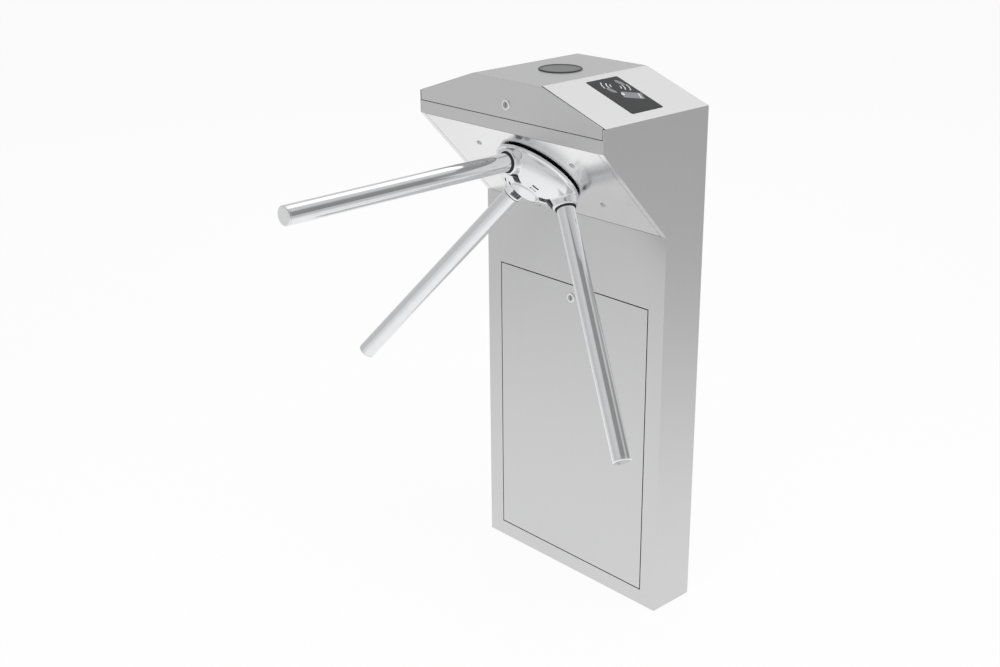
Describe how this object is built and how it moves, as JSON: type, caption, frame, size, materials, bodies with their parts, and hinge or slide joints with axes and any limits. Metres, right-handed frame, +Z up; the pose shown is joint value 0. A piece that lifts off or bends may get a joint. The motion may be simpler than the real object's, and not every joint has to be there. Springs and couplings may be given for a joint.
{
  "type": "tripod turnstile",
  "caption": "Slim steel turnstile cabinet with an overhanging head, a slanted hub with tube arms, a lockable lid and door, and a card reader plate.",
  "frame": {"origin": "on the floor under the middle of the cabinet's foot, at the centre of the anchor holes", "axes": "+Z up, +X along the cabinet to the end with the reader, -Y towards the passage and the arms"},
  "size_m": [0.6858, 0.7114, 0.982],
  "materials": {
    "brushed_steel": "brushed stainless sheet",
    "polished_steel": "semi-polished stainless sheet",
    "chrome": "bright chrome",
    "chromed_aluminium": "die-cast aluminium, chromed",
    "cast_aluminium": "machined casting",
    "base_steel": "zinc plated plate",
    "zinc_steel": "zinc plated steel",
    "hardened_steel": "ground hardened steel",
    "bearing_steel": "ground steel",
    "dark_plastic": "moulded",
    "smoked_lens": "smoked acrylic",
    "reader_black": "back-printed acrylic",
    "board_green": "solder mask",
    "terminal_green": "moulded",
    "solenoid_yellow": "yellow passivated",
    "sensor_black": "moulded",
    "gasket_rubber": "moulded"
  },
  "bodies": {
    "cabinet": {"base_plate": "base_steel", "end_shell_left": "brushed_steel", "end_shell_right": "brushed_steel", "rear_panel": "brushed_steel", "rear_frame": "zinc_steel", "front_panel": "brushed_steel", "plinth_strip": "brushed_steel", "head_rail": "brushed_steel", "slanted_panel": "polished_steel", "panel_screws": "polished_steel", "door_pivot_pins": "zinc_steel", "lid_hinge_fixed_leaf": "brushed_steel", "lid_hinge_pin": "zinc_steel", "reader_plate": "reader_black", "reader_module": "dark_plastic", "power_supply": "zinc_steel", "backup_battery": "dark_plastic", "control_board": "board_green", "terminal_strip": "terminal_green", "mechanism_plate": "zinc_steel", "plate_standoffs": "zinc_steel", "bearing_housing": "cast_aluminium", "housing_bolts": "zinc_steel", "front_bearing": "bearing_steel", "rear_bearing": "bearing_steel", "pawl_plate": "zinc_steel", "plate_pillars": "zinc_steel", "pawl_pins": "bearing_steel", "solenoid_left": "solenoid_yellow", "solenoid_right": "solenoid_yellow", "sensor_board": "board_green"},
    "rotor": {"hub": "chromed_aluminium", "hub_nut": "zinc_steel", "hub_cap": "chromed_aluminium", "arm_1": "chrome", "arm_2": "chrome", "arm_3": "chrome", "arm_end_caps": "chromed_aluminium", "arm_gaskets": "gasket_rubber", "shaft": "bearing_steel", "shaft_key": "bearing_steel", "index_disc": "hardened_steel", "sensor_disc": "sensor_black", "shaft_nut": "zinc_steel"},
    "lid": {"lid": "brushed_steel", "lid_hinge_moving_leaf": "brushed_steel", "lid_lock_barrel": "chrome", "indicator_bezel": "dark_plastic", "indicator_lens": "smoked_lens", "indicator_housing": "dark_plastic"},
    "lid_lock": {"lid_lock_plug": "chrome", "lid_lock_cam": "zinc_steel"},
    "door": {"door": "brushed_steel", "door_lock_barrel": "chrome"},
    "door_lock": {"door_lock_plug": "chrome", "door_lock_cam": "zinc_steel"},
    "pawl_left": {"pawl_left": "hardened_steel"},
    "pawl_right": {"pawl_right": "hardened_steel"},
    "plunger_left": {"plunger_left": "bearing_steel"},
    "plunger_right": {"plunger_right": "bearing_steel"}
  },
  "joints": [
    {"name": "rotor_turn", "type": "hinge", "parent": "cabinet", "child": "rotor", "pos_m": [0, -0.12972, 0.80993], "axis": [0, -0.7325, -0.6808], "continuous": true},
    {"name": "lid_hinge", "type": "hinge", "parent": "cabinet", "child": "lid", "pos_m": [0, 0.05105, 0.964], "axis": [-1, 0, 0], "range_deg": [0, 95]},
    {"name": "lid_lock_turn", "type": "hinge", "parent": "lid", "child": "lid_lock", "pos_m": [0, -0.206, 0.938], "axis": [0, 1, 0], "range_deg": [0, 90]},
    {"name": "door_swing", "type": "hinge", "parent": "cabinet", "child": "door", "pos_m": [-0.177, -0.042, 0.03], "axis": [0, 0, -1], "range_deg": [0, 80]},
    {"name": "door_lock_turn", "type": "hinge", "parent": "door", "child": "door_lock", "pos_m": [0, -0.048, 0.56], "axis": [0, -1, 0], "range_deg": [0, 90]},
    {"name": "pawl_left_swing", "type": "hinge", "parent": "cabinet", "child": "pawl_left", "pos_m": [-0.064, -0.08779, 0.9117], "axis": [0, -0.7325, -0.6808], "range_deg": [0, 11], "stiffness_Nm_per_rad": 0.5, "springref_deg": -5.73},
    {"name": "plunger_left_pull", "type": "slide", "parent": "cabinet", "child": "plunger_left", "axis": [0, 0.6808, -0.7325], "range_m": [0, 0.0079]},
    {"name": "pawl_right_swing", "type": "hinge", "parent": "cabinet", "child": "pawl_right", "pos_m": [0.064, -0.08779, 0.9117], "axis": [0, 0.7325, 0.6808], "range_deg": [0, 11], "stiffness_Nm_per_rad": 0.5, "springref_deg": -5.73},
    {"name": "plunger_right_pull", "type": "slide", "parent": "cabinet", "child": "plunger_right", "axis": [0, 0.6808, -0.7325], "range_m": [0, 0.0079]}
  ],
  "couplings": [
    {"joint": "plunger_left_pull", "follows": "pawl_left_swing", "m_per_rad": 0.04},
    {"joint": "plunger_right_pull", "follows": "pawl_right_swing", "m_per_rad": 0.04}
  ]
}
